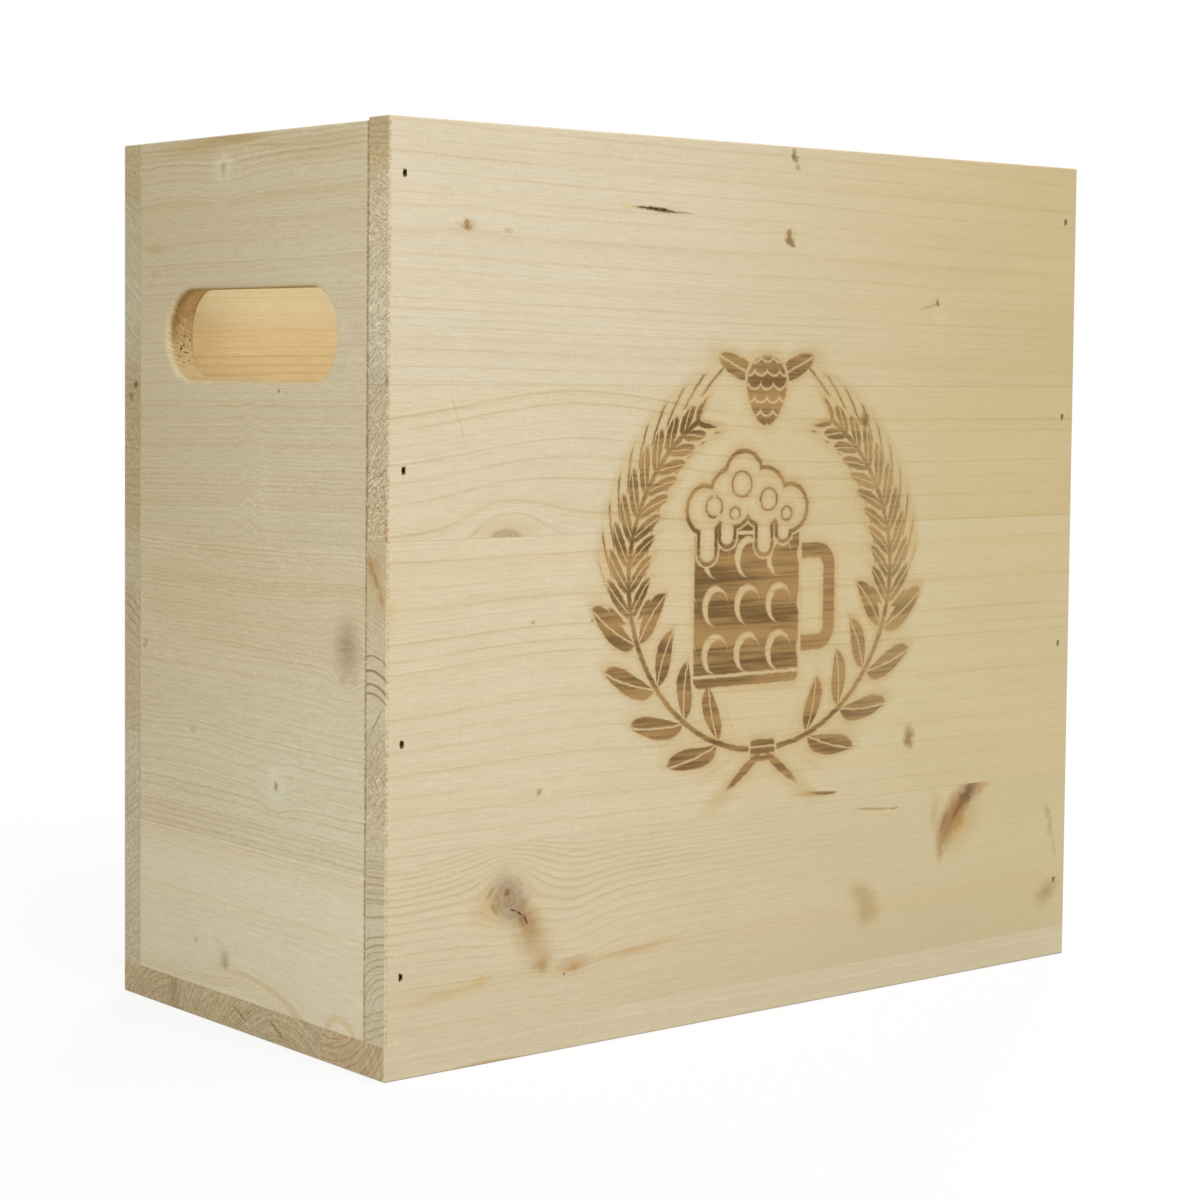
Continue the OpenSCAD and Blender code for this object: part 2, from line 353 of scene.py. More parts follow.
def wood(name, face, low, high, shows, far_tone_and_shade=None, rings=(), spacing=5.0, strength=0.45,
         slope=0.0, drift=1.6, wobble=0.9, jag=0.0, slant=0.5, fan=0.0, pith=None, bends=(), parts=(),
         calm=None, soften=None, fine=0.10, grit=1.0, knots=(), arcs=(), spots=(), brads=(), mark=False,
         seams=(0.5, 0.5), slot=False, end_shows=(212, 200, 170), ends=(), end_rings=(), end_spacing=1.6,
         end_strength=0.5, end_arcs=(), end_spots=(), seed=1):
    """The material of one board, from low to high across the grain, in the part's millimetres.

    shows and the colour after it are its colours at the two ends. Their change along the board is
    partly the wood's own tone and partly painted shade, darker where the light falls off. slope,
    drift, wobble and jag bend the rings, and so do bends (arches) and parts (the flow round a knot);
    slant, fan and pith lay them in the thickness. brads are the heights of the left and right brad
    mark. ends are rows of place, slant, tears and brownness along the end grain.
    """
    material, tree, shader = new_material(name)
    coordinates = new_node(tree, "TexCoord")
    at_part = Place(tree, coordinates.outputs["Object"]).scaled(IN_MM)
    l, v, u = AXES[face](*at_part.parts())
    at = place(tree, l, v, u)
    offset = at.plus((seed * 61.7, seed * 23.1, seed * 7.9))

    # The grain's own coordinate: straight lines bent by slow drift, arches and knots.
    # Noise sizes are in millimetres along the grain, across it and into the board.
    slow = offset.noise((130.0, 26.0, 40.0), 1.0)
    small = offset.noise((14.0, 5.0, 9.0), 2.0, 0.6, colour=True)
    small_x, small_y, _ = small.parts()
    tiny = offset.noise((3.4, 2.4, 3.0), 1.0, colour=True)
    ragged = at.plus(tiny.scaled((1.6, 1.4, 0.0)))
    warped = ragged.plus(small.scaled((3.0, 2.4, 0.0))).plus(tiny.scaled((1.8, 1.6, 0.0)))
    grain = (slow - 0.5).times_plus(drift * 2, v)
    grain = small_x.times_plus(wobble, grain)
    if jag:
        grain = offset.noise((1.8, 0.9, 1.2), 1.0).times_plus(jag, grain)
    if slope:
        grain = l.times_plus(slope, grain)
    for bl, bv, ba, bb, height in bends:
        bump = at.within((bl, bv, 0.0), (ba, bb, 1e4)).square()
        grain = fall(bump).times_plus(-height, grain)
    for kl, kv, ka, kb in parts:
        seen = at.within((kl, kv, 0.0), (ka, kb, 1e4))
        across = seen.parts()[1]
        grain = (across / seen.square().most(0.7)).times_plus(-kb, grain)
    tilt = slant
    if fan:
        tilt = (v - (low + high) / 2).times_plus(fan, slant).most(-1.6).least(1.6)
    ringed = grain + u * tilt
    if pith:
        ringed = place(tree, grain - pith[0], u - pith[1], 0.0).length()

    first, last = (low - 16, high + 16) if pith is None else (0.0, high - low + abs(pith[1]))
    late = ring_profile(ringed, first, last, ring_list(seed, first, last, spacing, strength, rings))
    fade = offset.noise((48.0, 4.0, 30.0), 1.0).step(0.22, 0.72)
    late = late * fade.times_plus(0.7, 0.35)
    if soften:
        late = late * l.step(*soften).times_plus(-0.35, 1.0)
    if calm:
        late = late * l.step(*calm).times_plus(0.65, 0.35)
    bands = stripe_noise(ringed, 9.0, seed, 1.0).step(0.45, 0.75)
    fines = stripe_noise(ringed, 0.8, seed + 3, 2.0)
    fibre = offset.noise((8.0, 0.42, 0.5), 2.0, 0.65)
    flecks = offset.noise((1.3, 0.34, 0.4), 1.0)
    sawn = offset.noise((0.5, 2.6, 0.5), 1.0)
    patch = offset.noise((60.0, 22.0, 30.0), 1.0)

    half = HALF_DEPTH if face in ENDS else HALF_LENGTH
    # From shows to the far colour along the grain: partly the wood's tone, partly painted shade where the
    # light falls off
    plain = blend(tree, l.step(-0.75 * half, half), linear(*shows), linear(*(far_tone_and_shade or shows)))
    colour = blend(tree, late, plain, plain.scaled(LATE_WOOD))
    colour = tinted(colour, bands * patch * BAND_SHARE, BAND)
    level = fines.times_plus(fine, 1.0 - fine / 2) * fibre.times_plus(0.26 * grit, 1.0 - 0.13 * grit)
    level = level * flecks.times_plus(0.16 * grit, 1.0 - 0.08 * grit) * sawn.times_plus(0.07, 0.965)
    if soften:
        level = (level - 1.0).times_plus(l.step(*soften).times_plus(-0.5, 1.0), 1.0)
    level = level * patch.times_plus(0.07, 0.965)
    colour = shaded(colour, level, 1.12, 1.5)
    facing = Place(tree, coordinates.outputs["Normal"]).parts()
    inward = INWARD[face](facing).step(0.3, 0.7)
    # Inner faces are warmer and brighter: partly the wood's tone, partly painted light of the lit inside of
    # the crate
    colour = tinted(colour, inward, INSIDE_TINT_AND_PAINTED_LIGHT)

    gentle = at.plus(small.scaled((2.0, 1.6, 0.0)))
    for item in knots:
        colour = knot(colour, gentle if "half" in item else warped, *item)
    for item in arcs:
        colour = arc(colour, gentle, *item)
    tears = flecks.step(0.62, 0.46)
    for item in spots:
        thin, wide = sorted(item[2:4])
        moved = gentle if wide > 4 * thin else (ragged if thin < 1.7 else warped)
        colour = spot(colour, moved, *item, tears=tears)
    for side, height in zip((-1, 1), brads):
        middle = side * (HALF_LENGTH - BRAD_INSET)
        colour = spot(colour, ragged, middle, height, *BRAD_MARK, BRAD_STAINS[side], edge=0.7, deep=3.0)

    if mark:
        colour = burn(colour, at, patch)

    # End grain: rings at a slope of their own, torn pores and pale fibre ends
    is_end = abs(facing[1 if face in ENDS else 0]).step(0.55, 0.85)
    speck = offset.noise((6.0, 0.9, 0.85), 2.0, 0.8)
    if pith:
        cut = ringed
        along = (u - pith[1]).op("ARCTAN2", v - pith[0]) * cut
        torn_share, brown = 0.55, patch
        bounds = first, last
    else:
        rows = sorted(ends or ((low, slant, 0.6, 0.4), (high, slant, 0.6, 0.4)))
        ramp = colour_ramp((v - low) / (high - low), [
            ((where - low) / (high - low), (0.5 + tilt / 4, tears, browns, 1.0))
            for where, tilt, tears, browns in rows])
        tilt, torn_share, brown = Place(tree, ramp.outputs["Color"]).parts()
        cut = (u - PANEL / 2) * tilt.times_plus(4.0, -2.0) + v + small_y
        along = v.times_plus(0.35, u)
        bounds = low - 8, high + 8
    lines_across = ring_profile(
        cut, *bounds, ring_list(seed + 40, *bounds, end_spacing, end_strength, end_rings))
    streaks = place(tree, cut, along, l).noise((0.75, 1.9, 9.0), 2.0, 0.7)
    pale, browner = (tuple(a * b for a, b in zip(linear(*end_shows), t)) for t in (END_PALE, END_BROWN))
    end = blend(tree, brown, pale, browner)
    end = tinted(end, lines_across * speck.times_plus(1.2, 0.3), END_RING)
    end_at = place(tree, u, v, l + HALF_LENGTH).plus(small.scaled((0.0, 1.2, 0.0)))
    for item in end_arcs:
        end = arc(end, end_at, *item)
    for item in end_spots:
        end = spot(end, end_at, *item)
    pores = speck
    if face in ("front", "back"):
        pores = u.step(0.9, 0.1).most(u.step(10.0, 10.8)).times_plus(0.10, speck)
    end = tinted(end, pores.step(0.52, 0.60) * torn_share, PORE)
    end = tinted(end, streaks.step(0.46, 0.38) * torn_share, FIBRE_END)
    shade = (streaks - 0.5).times_plus(torn_share * 1.4 + 0.45, 1.0)
    shade = shade * (speck - 0.5).times_plus(torn_share * 0.9 + 0.3, 1.0) * patch.times_plus(0.16, 0.92)
    colour = blend(tree, is_end, colour, shaded(end, shade, 1.08, 1.25))
    if slot:
        # The hand hole's walls are browner and torn, and its rim is a pale ragged line. Towards the top of
        # the hole the walls are darker, painted shade, and near the inner face lighter, painted light
        wall = u.step(0.6, 2.2) * u.step(10.9, 10.2) * v.step(285.0, 275.0)
        upper = v.step(226.0, 236.0) * u.step(6.0, 2.0)
        painted_inner_light = v.step(232.0, 237.0) * u.step(2.5, 6.0)
        colour = tinted(colour, wall, (0.98, 0.85, 0.66))
        # These two darken the walls towards the top of the hole, the outer part most: painted shade
        colour = tinted(colour, wall * v.step(224.0, 240.0), (0.94, 0.89, 0.80))
        colour = tinted(colour, wall * upper, (0.80, 0.75, 0.66))
        # Painted light: the upper walls are lighter towards the inner face, as if lit from inside the crate
        colour = tinted(colour, wall * painted_inner_light, (1.30, 1.28, 1.32))
        pits = at.noise((2.4, 2.6, 2.4), 2.0, 0.7).step(0.56, 0.62) * wall * is_end
        pits = pits * v.step(219.0, 222.0) * v.step(235.0, 232.0) * u.step(2.0, 5.0)
        colour = tinted(colour, pits, (0.30, 0.22, 0.14))
        rim_at = tiny.parts()[0].times_plus(1.8, u)
        rim = rim_at.step(0.25, 0.6) * rim_at.step(1.5, 1.0) * v.step(232.0, 222.0)
        colour = tinted(colour, rim, (1.08, 1.08, 1.06))

    # The glue seams are hairlines, and the torn brad marks are dark inside
    for place_v, share, side in ((low, seams[0], 1.0), (high, seams[1], -1.0)):
        if share:
            seam = ((v - place_v) * side).step(0.26, 0.05) * fade.times_plus(0.6, 0.25) * share
            colour = tinted(colour, seam, SEAM)
    if face in ("front", "back"):
        beside = abs(abs(l) - (HALF_LENGTH - BRAD_INSET))
        hole = beside.step(1.9, 1.7) * u.step(0.05, 0.35) * u.step(10.9, 10.7)
        hole = hole * v.step(HEIGHT - 3, HEIGHT - 4) * l.step(120.0, -120.0)
        colour = tinted(colour, hole, BRAD_HOLE)
        arris = l.step(-156.8, -157.6) * speck.step(0.46, 0.60)
        colour = tinted(colour, arris * (1.0 - is_end), ARRIS)
    if face in ENDS:
        joint = abs(l).step(68.9, 69.7) * u.step(0.6, 0.2) * l.step(20.0, -20.0).times_plus(0.7, 0.3)
        joint = joint * speck.step(0.36, 0.56).times_plus(0.75, 0.25)
        colour = tinted(colour, joint, JOINT)

    tree.links.new(colour.socket, shader.inputs["Base Color"])
    feed(tree, shader.inputs["Roughness"], is_end.times_plus(0.2, fibre.times_plus(0.18, 0.54)))
    shader.inputs["Specular IOR Level"].default_value = SPECULAR
    bump = new_node(tree, "Bump")
    bump.inputs["Strength"].default_value = BUMP_STRENGTH
    bump.inputs["Distance"].default_value = BUMP_DEPTH
    feed(tree, bump.inputs["Height"], (speck * is_end).times_plus(2.6, fibre))
    tree.links.new(bump.outputs[0], shader.inputs["Normal"])
    MATERIALS[name] = material


def fall(square):
    """exp(-square), as a bump that dies away."""
    node = new_node(square.tree, "Math", math.exp(-1), square, operation="POWER")
    return Field(square.tree, node.outputs[0])


# How much a surface faces into the crate
INWARD = {
    "front": lambda n: n[1], "back": lambda n: -n[1], "base": lambda n: n[2],
    "left": lambda n: n[0], "right": lambda n: -n[0],
}

# ---------------------------------------------------------------- the burnt mark

MARK_AT = (0.0, 153.0)  # middle of the mark on the front, in millimetres
WREATH = 61.0  # radius of the wreath's stems
EAR_FROM, EAR_TO = 82.0, 160.0  # where the ears are, along the stems from the bottom
KERNEL = 8.4
LEAF = 17.5


def union(*shapes):
    first = shapes[0]
    for shape in shapes[1:]:
        first = first.least(shape)
    return first


def rounded_box(at, centre, half, radius):
    """Distance to a box that is widened by a radius all round, negative inside it."""
    corner = at.plus((-centre[0], -centre[1], 0.0)).moved("ABSOLUTE").plus((-half[0], -half[1], 0.0))
    return corner.moved("MAXIMUM", (0.0, 0.0, 0.0)).length() - radius


def mark_group():
    """The burnt mark: a mug of beer in a wreath of barley, with a hop cone above it.

    It gives the distance in millimetres to the burnt shapes, negative inside them.
    """
    tree = bpy.data.node_groups.new("burnt_mark", "ShaderNodeTree")
    tree.interface.new_socket("At", in_out="INPUT", socket_type="NodeSocketVector")
    tree.interface.new_socket("Distance", in_out="OUTPUT", socket_type="NodeSocketFloat")
    source = tree.nodes.new("NodeGroupInput")
    target = tree.nodes.new("NodeGroupOutput")
    at = Place(tree, source.outputs[0])
    x, z, _ = at.parts()
    side = abs(x)
    half = place(tree, side, z, 0.0)

    # Wreath: s runs along the stem from the bottom, r outwards from it
    s = side.op("ARCTAN2", -z) * WREATH
    r = half.length() - WREATH
    out = abs(r)
    stem = (out - 0.9).most(s - EAR_TO)
    along = s - out * 1.25
    cell = along.wrap(KERNEL)
    taper = s.step(EAR_TO + 8, EAR_TO - 30).times_plus(0.4, 0.6)
    kernel = place(tree, cell / 3.5, (out / taper - 4.7) / 4.4, 0.0).length() * 3.0 - 3.0
    kernel = kernel.most(0.38 - abs(cell)).most(EAR_FROM - s).most(along - EAR_TO)
    far = s - out * 1.9
    awn = (abs(far.wrap(KERNEL)) * 0.46 - 0.34).most(7.0 - out)
    awn = awn.most(r - 13.0).most(-7.6 - r)
    awn = awn.most(EAR_FROM - 6 - far).most(far - EAR_TO + 6)
    lean = s - out * 0.95
    leaf_cell = (lean - 12.0 - LEAF / 2).wrap(LEAF)
    belly = ((out - 8.6) / 7.8).op("POWER", 2.0) * -5.4 + 5.4
    leaf = (abs(leaf_cell) - belly) * 0.72
    leaf = leaf.most(0.42 - abs(leaf_cell)).most(12.0 - lean).most(lean - 12.0 - 4 * LEAF)
    wreath = union(stem, kernel, awn, leaf)

    # The tie at the bottom and the two stem ends below it
    ends = half.within((8.0, -67.5, 0.0), (9.6, 1.5, 1.0), -38.0).length() * 1.4 - 1.4
    knotted = rounded_box(half, (0.0, -61.5), (4.2, 2.4), 1.4)
    tie = knotted.most(0.35 - abs(abs(z + 61.5) - 1.4))
    wreath = union(wreath.most(0.9 - knotted), ends, tie)

    # Mug
    mug = at.plus((8.0, 5.0, 0.0))
    mx, mz, _ = mug.parts()
    glass = rounded_box(mug, (0.0, -5.0), (21.5, 25.5), 2.6)
    dimple_cell = place(tree, mx.wrap(14.6), (mz + 5.4).wrap(16.4), 0.0)
    dimple = dimple_cell.within((0.0, 0.0, 0.0), (5.9, 6.9, 1.0)).length() * 5.0 - 5.0
    shade = dimple_cell.within((1.5, -1.3, 0.0), (4.9, 6.1, 1.0)).length() * 5.0 - 5.0
    crescent = dimple.most(-shade).most(abs(mz + 5.4) - 24.0)
    rim = (abs(mz - 19.2) - 0.65).least(abs(mz + 29.4) - 0.6)
    body = glass.most(-crescent).most(-rim)
    handle = rounded_box(mug, (27.0, -4.0), (6.0, 10.5), 8.4)
    handle = (abs(handle + 2.7) - 2.7).most(1.3 - glass)
    mug_side = place(tree, abs(mx), mz, 0.0)
    foam = union(
        mug_side.distance((19.5, 27.5, 0.0)) - 8.2,
        mug_side.distance((7.4, 31.5, 0.0)) - 10.2,
        mug.distance((-2.0, 39.0, 0.0)) - 8.4,
        rounded_box(mug, (-18.5, 18.0), (0.1, 5.0), 3.9),
        rounded_box(mug, (-9.5, 20.0), (0.1, 2.0), 3.4),
        rounded_box(mug, (7.5, 19.0), (0.1, 4.0), 3.6),
        rounded_box(mug, (16.5, 21.0), (0.1, 2.0), 3.2),
    )
    bubbles = union(
        abs(mug.distance((-15.5, 28.5, 0.0)) - 3.6),
        abs(mug.distance((-3.0, 36.0, 0.0)) - 4.4),
        abs(mug.distance((9.5, 30.5, 0.0)) - 3.8),
        abs(mug.distance((-6.0, 26.0, 0.0)) - 2.2),
        abs(mug.distance((18.0, 25.5, 0.0)) - 2.4),
    ) - 0.42
    bubbles = bubbles.most(foam + 2.6)
    drawn = union(union(body, handle).most(1.5 - foam), abs(foam) - 0.75, bubbles)

    # Hop cone at the top, with two small leaves
    hop = at.plus((0.0, -63.0, 0.0))
    hx, hz, _ = hop.parts()
    cone = place(tree, hx / (hz.times_plus(0.16, 9.0)), hz / 12.0, 0.0).length() * 8.0 - 8.0
    row = (hz / 4.6).floor()
    scale_at = place(tree, row.times_plus(2.9, hx).wrap(5.8), row.times_plus(-4.6, hz) - 4.0, 0.0)
    scales = abs(scale_at.length() - 3.5) - 0.42
    hop_side = place(tree, abs(hx), hz, 0.0)
    sprig = hop_side.within((13.5, 8.0, 0.0), (9.0, 3.6, 1.0), 24.0).length() * 3.4 - 3.4
    vein = hop_side.within((13.5, 8.0, 0.0), (9.0, 1.0, 1.0), 24.0).parts()[1]
    cone = cone.most(-scales)
    sprig = sprig.most(0.35 - abs(vein)).most(0.9 - cone)

    whole = union(wreath, drawn, cone, sprig)
    tree.links.new(whole.socket, target.inputs[0])
    return tree


MARK = mark_group()
BURNT_DARK, BURNT_BROWN = linear(112, 83, 46), linear(170, 134, 82)
SCORCH, TOAST = (0.84, 0.68, 0.44), (0.985, 0.95, 0.89)  # close round the lines, and over the whole mark


def burn(colour, at, patch):
    """The mark burnt into the wood: uneven browns along the grain and a scorched margin."""
    tree = colour.tree
    group = new_node(tree, "Group", node_tree=MARK)
    shaky = at.noise((3.2, 1.6, 3.0), 1.0, colour=True).scaled((0.9, 0.9, 0.0))
    on_mark = at.plus((-MARK_AT[0], -MARK_AT[1], 0.0)).plus(shaky)
    feed(tree, group.inputs[0], on_mark)
    distance = Field(tree, group.outputs[0])
    l, _, u = at.parts()
    on_face = u.step(0.35, 0.05)
    streak = at.plus((11.0, 5.0, 0.0)).noise((26.0, 1.3, 9.0), 2.0, 0.6)
    broad = at.plus((3.0, 9.0, 0.0)).noise((60.0, 9.0, 20.0), 1.0)
    heat = l.step(84.0, 8.0).times_plus(0.30, 0.70)
    solid = distance.step(0.42, -0.38) * on_face
    tone = (streak * 0.55 + broad * 0.75).step(0.46, 0.79)
    burnt = blend(tree, tone, BURNT_DARK, BURNT_BROWN)
    scorch = fall((distance.most(0.0) / 2.3).op("POWER", 2.0)) * on_face * patch.times_plus(0.7, 0.15)
    colour = tinted(colour, scorch, SCORCH)
    toast = on_mark.within((0.0, 0.0, 0.0), (76.0, 84.0, 1e4)).length().step(1.0, 0.75) * on_face
    colour = tinted(colour, toast, TOAST)
    return blend(tree, solid * heat, colour, burnt)


# ---------------------------------------------------------------- boards

# Rows, in the order that knot(), arc() and spot() take them:
#   knots: l, v, radii, kind, turn    arcs: l, v, radii, width, tint, above, until
#   spots: l, v, radii, tint, edge, turn, deep, torn
# l runs along the grain and v across it; end_arcs and end_spots have u, v instead.

wood("front_top", "front", 217.5, 300, (217, 204, 177), (203, 184, 141), spacing=3.6, strength=0.24,
    slope=0.02, drift=1.8, seed=1, slant=0, fan=-0.045, mark=True, seams=(0.5, 0), soften=(-70, 150),
    end_shows=(215, 204, 175), brads=(282.6, 279.5),
    rings=[
        (296.5, 0.4, 1.8, 0.3), (286.5, 0.55, 2, 0.3), (262, 0.4, 6, 1.2), (255, 0.35, 2, 0.5),
        (250.5, 0.25), *lines(1.6, 0.3, (291, 0.35), (280.5, 0.4), (273.5, 0.35), (269.5, 0.35),
        (241.5, 0.5), (238.5, 0.45), (233, 0.35), (226, 0.3), (221, 0.4))],
    ends=[
        (300, 0, 0.35, 1), (288, -0.1, 0.5, 1), (280, -0.4, 0.7, 0.4), (271, -0.55, 0.75, 0.35),
        (257, 0.55, 0.75, 0.25), (249, 0.75, 0.8, 0.15), (239, 0.35, 0.8, 0.05), (233, 0.25, 0.8, 0),
        (224, 0.6, 0.85, 0), (217.5, 0.65, 0.9, 0.15)],
    bends=[
        (-128, 270, 16, 8, 1.5), (10, 270, 14, 9, 1), (83, 250, 9, 6, -1.2)],
    spots=[
        (-128.3, 267.3, 5.5, 3.2, (0.84, 0.72, 0.56), 0.1),
        (-128, 266.8, 2.6, 1.3, (0.62, 0.54, 0.45), 0.3),
        (-128.4, 268.3, 1.3, 1.3, (0.66, 0.56, 0.46), 0.4),
        (-112, 266.4, 3, 1.2, FAINT),
        (-62.5, 276.3, 6, 1.8, (1, 0.93, 0.74), 0, -2.5, 5),
        (-50, 275.7, 12.8, 1.2, (0.7, 0.6, 0.44), 0.1, -2, 5),
        (-50.5, 275.8, 12, 0.9, (0.26, 0.17, 0.085), 0.4, -2.5, 5, True),
        (-51.5, 275.9, 10.5, 0.65, (0.27, 0.19, 0.1), 0.3, -2.5, 5),
        (-40, 275.2, 8, 0.5, (0.62, 0.52, 0.4), 0.3, -2, 5),
        (12, 297, 2, 3.2, (0.45, 0.37, 0.3), 0.3, 14),
        (13.6, 293, 2.6, 1.8, (0.72, 0.6, 0.46), 0.2, -40),
        (9.9, 268.8, 3.4, 4.4, (0.86, 0.76, 0.62), 0.1),
        (9.9, 267.2, 2.1, 2.2, (0.5, 0.4, 0.3), 0.4),
        (9.7, 270, 1.2, 2.6, (0.62, 0.5, 0.38), 0.3),
        (83.5, 248.1, 1.7, 2, (0.5, 0.41, 0.32), 0.3),
        (80, 246.6, 7, 0.9, (0.8, 0.7, 0.56), 0.2, 14),
        (84.5, 243.6, 5, 4, (1.05, 1.05, 1.06), 0.1)],
    end_spots=[
        (0, 218.5, 2.2, 2.8, (0.52, 0.42, 0.29), 0.3),
        (6, 300, 40, 20, (0.84, 0.85, 0.88), 0)])
wood("front_upper", "front", 169, 217.5, (217, 204, 173), (205, 186, 141), spacing=6, strength=0.28,
    drift=0.8, seed=2, slant=0.9, mark=True, seams=(0.4, 0.5), soften=(-70, 150),
    bends=[(-84, 212, 58, 60, 10.5), (-111, 173, 16, 10.5, 9.5)], brads=(191, 206.2),
    knots=[(-112, 169, 16.5, 8.2, "half")], end_spots=[(0, 171, 2, 6, (0.74, 0.56, 0.34), 0.2)],
    rings=[
        (205.5, 0.64), (201.5, 0.7), (190.6, 0.5), (185, 0.55), (178.4, 0.6), (169, 0.7), (214, 0.35),
        (162.4, 0.8), (154, 0.2)],
    ends=[
        (217.5, 0.6, 0.8, 0.45), (207, 0.7, 0.8, 0.4), (193, 0.8, 0.95, 0.35), (182, 0.5, 1, 0.4),
        (175, 0.2, 0.9, 0.5), (169, 0.1, 0.7, 0.45)],
    spots=[
        (46.9, 205.9, 3, 4.6, (0.62, 0.57, 0.5), 0.3),
        (46.9, 204.9, 1.5, 2.4, (0.62, 0.55, 0.47), 0.3),
        (-131.3, 207, 11.5, 0.35, (0.9, 0.82, 0.7), 0.4, -69, 3)])
wood("front_lower", "front", 70.5, 169, (219, 204, 172), (209, 192, 150), spacing=6, strength=0.28,
    drift=1.4, seed=3, slant=0.8, fan=-0.06, mark=True, seams=(0.35, 0.4), soften=(-70, 150),
    end_strength=0.3, bends=[(-90, 128, 48, 30, 5)], brads=(105.9, 120),
    rings=[
        (161.8, 0.55), (147, 0.55), (136, 0.7), (130.5, 0.65), (126.5, 0.5), (113, 0.45), (103, 0.45),
        (96, 0.45), (89, 0.4), (82.5, 0.45), (76, 0.4)],
    ends=[
        (169, -0.3, 0.25, 0.55), (161, -0.9, 0.15, 0.8), (151, -0.6, 0.1, 0.7), (143, -0.3, 0.1, 0.45),
        (120, -0.2, 0.1, 0.3), (114, 0.3, 0.2, 0.1), (106, 0.8, 0.6, 0.25), (95, 0.9, 0.85, 0.35),
        (84, 0.5, 0.8, 0.35), (76, 0.35, 0.45, 0.3), (70.5, 0.15, 0.3, 0.25)],
    end_arcs=[(8, z - 13, 13, 13, w, t, z - 4) for z, w, t in (
        (133.2, 0.55, (0.66, 0.54, 0.38)), (128.3, 0.75, (0.54, 0.42, 0.28)),
        (124.1, 0.75, (0.56, 0.44, 0.3)), (121.2, 0.6, (0.58, 0.46, 0.32)))],
    spots=[
        (-100.9, 141, 1, 0.8, (0.66, 0.52, 0.36)),
        (-76.4, 140.7, 1, 0.8, (0.66, 0.52, 0.36)),
        (-97.8, 85.9, 2.1, 1.1, (0.7, 0.56, 0.36), 0.2, 40),
        (24, 74, 15, 1.8, (0.84, 0.72, 0.52), 0.05, -4),
        (29.4, 73.8, 8.5, 1, (0.5, 0.4, 0.3), 0.2, -5),
        (33, 73.6, 4, 0.7, (0.42, 0.33, 0.25), 0.3, 4, 60, True),
        (71.9, 90.5, 4.2, 6, (0.68, 0.61, 0.52), 0.2),
        (71.9, 89, 3, 4.4, (0.76, 0.68, 0.58), 0.2),
        (-158, 147, 5, 14, (0.97, 0.9, 0.78), 0.05, 0, 2)],
    end_spots=[
        (7, 159, 5.5, 9, (0.9, 0.8, 0.68), 0),
        (3.5, 151, 3.5, 7, (0.94, 0.86, 0.76), 0),
        (9, 161.6, 4.6, 2, (0.78, 0.61, 0.46), 0, 74),
        (5.8, 156.4, 5, 1.7, (0.8, 0.64, 0.48), 0, 60),
        (2.8, 151, 4.2, 1.4, (0.86, 0.73, 0.58), 0, 68),
        (5.2, 112.7, 8.8, 0.5, (0.66, 0.55, 0.41), 0.3, -52.6)])
